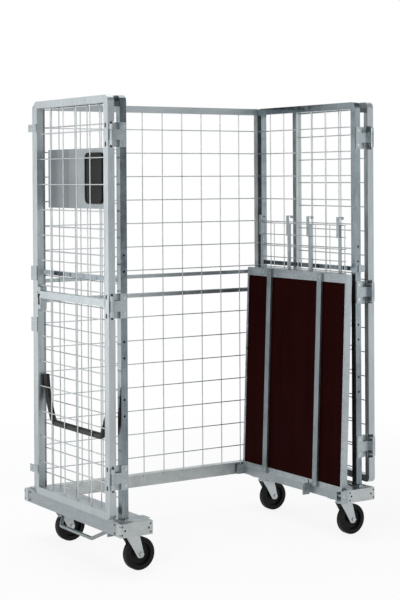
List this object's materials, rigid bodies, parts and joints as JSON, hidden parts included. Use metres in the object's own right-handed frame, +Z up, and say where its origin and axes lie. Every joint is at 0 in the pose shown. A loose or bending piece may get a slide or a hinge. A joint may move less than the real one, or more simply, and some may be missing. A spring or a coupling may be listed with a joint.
{
  "type": "roll cage container",
  "caption": "Roll cage on swivel casters with wire mesh side and back panels, folded-back mesh doors, a folded base shelf, a stored wire shelf, push handle and brake rod.",
  "frame": {"origin": "on the floor under the middle of the whole object's box, which stands 30 mm to the right of the middle of the base because the right door is ajar", "axes": "+X to the right of someone who faces the open front, +Y to the back, +Z up"},
  "size_m": [1.325, 0.8, 1.79],
  "materials": {
    "galvanised_steel": "hot-dip galvanised, dull",
    "zinc_steel": "zinc plated",
    "sign_grey": "grey sheet, semi-matt",
    "black_paint": "black powder coat",
    "black_plastic": "moulded, fine grain",
    "wheel_plastic": "moulded, matt",
    "black_rubber": "matt",
    "tyre": "matt solid tyre",
    "phenolic_plywood": "dark brown phenolic film"
  },
  "bodies": {
    "cage": {"base_beam_left": "galvanised_steel", "base_beam_right": "galvanised_steel", "base_rear_beam": "galvanised_steel", "beam_end_caps": "galvanised_steel", "brake_brackets": "galvanised_steel", "caster_ball_races": "galvanised_steel", "caster_bolts": "zinc_steel", "caster_kingpins": "zinc_steel", "caster_top_plates": "galvanised_steel", "document_pocket": "black_plastic", "door_buffers": "black_rubber", "door_catch": "galvanised_steel", "door_hinge_brackets": "galvanised_steel", "door_hinge_pins": "zinc_steel", "foot_plates": "galvanised_steel", "frame_bolts": "zinc_steel", "hinge_rivets": "zinc_steel", "rear_frame": "galvanised_steel", "rear_mesh": "galvanised_steel", "shelf_hinge_ears": "galvanised_steel", "shelf_hinge_shaft": "zinc_steel", "shelf_ledges": "galvanised_steel", "side_frame_left": "galvanised_steel", "side_frame_right": "galvanised_steel", "side_mesh_left": "galvanised_steel", "side_mesh_right": "galvanised_steel", "sign_plate": "sign_grey"},
    "door_left": {"door_left_frame": "galvanised_steel", "door_left_mesh": "galvanised_steel", "door_left_knuckles": "galvanised_steel", "door_lock_tabs": "galvanised_steel", "latch_case": "galvanised_steel", "push_handle": "black_paint"},
    "latch": {"latch_bolt": "zinc_steel"},
    "door_right": {"door_right_frame": "galvanised_steel", "door_right_mesh": "galvanised_steel", "door_right_knuckles": "galvanised_steel"},
    "base_shelf": {"shelf_frame": "galvanised_steel", "shelf_board": "phenolic_plywood", "shelf_bars": "galvanised_steel"},
    "wire_shelf": {"wire_shelf_mesh": "galvanised_steel", "wire_shelf_strips": "galvanised_steel"},
    "brake": {"brake_pedal": "galvanised_steel"},
    "caster_fl": {"caster_fl_fork": "galvanised_steel", "caster_fl_axle": "zinc_steel"},
    "wheel_fl": {"caster_fl_wheel": "wheel_plastic", "caster_fl_tyre": "tyre"},
    "caster_fr": {"caster_fr_fork": "galvanised_steel", "caster_fr_axle": "zinc_steel"},
    "wheel_fr": {"caster_fr_wheel": "wheel_plastic", "caster_fr_tyre": "tyre"},
    "caster_rl": {"caster_rl_fork": "galvanised_steel", "caster_rl_axle": "zinc_steel"},
    "wheel_rl": {"caster_rl_wheel": "wheel_plastic", "caster_rl_tyre": "tyre"},
    "caster_rr": {"caster_rr_fork": "galvanised_steel", "caster_rr_axle": "zinc_steel"},
    "wheel_rr": {"caster_rr_wheel": "wheel_plastic", "caster_rr_tyre": "tyre"}
  },
  "joints": [
    {"name": "door_left_hinge", "type": "hinge", "parent": "cage", "child": "door_left", "pos_m": [-0.64799, -0.3755, 1.005], "axis": [0, 0, 1], "range_deg": [0, 270]},
    {"name": "door_right_hinge", "type": "hinge", "parent": "cage", "child": "door_right", "pos_m": [0.58801, -0.3755, 1.005], "axis": [0, 0, -1], "range_deg": [-5.91, 264.09]},
    {"name": "latch_slide", "type": "slide", "parent": "door_left", "child": "latch", "axis": [0, 1, 0], "range_m": [0, 0.012]},
    {"name": "base_shelf_fold", "type": "hinge", "parent": "cage", "child": "base_shelf", "pos_m": [0.41101, 0, 0.182], "axis": [0, -1, 0], "range_deg": [0, 92.1]},
    {"name": "wire_shelf_lift", "type": "slide", "parent": "cage", "child": "wire_shelf", "axis": [0, 0, 1], "range_m": [0, 1.6]},
    {"name": "brake_press", "type": "hinge", "parent": "cage", "child": "brake", "pos_m": [-0.58999, -0.051, 0.138], "axis": [0, -1, 0], "range_deg": [0, 20]},
    {"name": "caster_fl_swivel", "type": "hinge", "parent": "cage", "child": "caster_fl", "pos_m": [-0.53999, -0.308, 0.137], "axis": [0, 0, 1], "continuous": true},
    {"name": "wheel_fl_spin", "type": "hinge", "parent": "caster_fl", "child": "wheel_fl", "pos_m": [-0.50199, -0.308, 0.0625], "axis": [0, 1, 0], "continuous": true},
    {"name": "caster_fr_swivel", "type": "hinge", "parent": "cage", "child": "caster_fr", "pos_m": [0.48001, -0.308, 0.137], "axis": [0, 0, 1], "continuous": true},
    {"name": "wheel_fr_spin", "type": "hinge", "parent": "caster_fr", "child": "wheel_fr", "pos_m": [0.51801, -0.308, 0.0625], "axis": [0, 1, 0], "continuous": true},
    {"name": "caster_rl_swivel", "type": "hinge", "parent": "cage", "child": "caster_rl", "pos_m": [-0.53999, 0.246, 0.137], "axis": [0, 0, 1], "continuous": true},
    {"name": "wheel_rl_spin", "type": "hinge", "parent": "caster_rl", "child": "wheel_rl", "pos_m": [-0.50199, 0.246, 0.0625], "axis": [0, 1, 0], "continuous": true},
    {"name": "caster_rr_swivel", "type": "hinge", "parent": "cage", "child": "caster_rr", "pos_m": [0.48001, 0.246, 0.137], "axis": [0, 0, 1], "continuous": true},
    {"name": "wheel_rr_spin", "type": "hinge", "parent": "caster_rr", "child": "wheel_rr", "pos_m": [0.51801, 0.246, 0.0625], "axis": [0, 1, 0], "continuous": true}
  ]
}
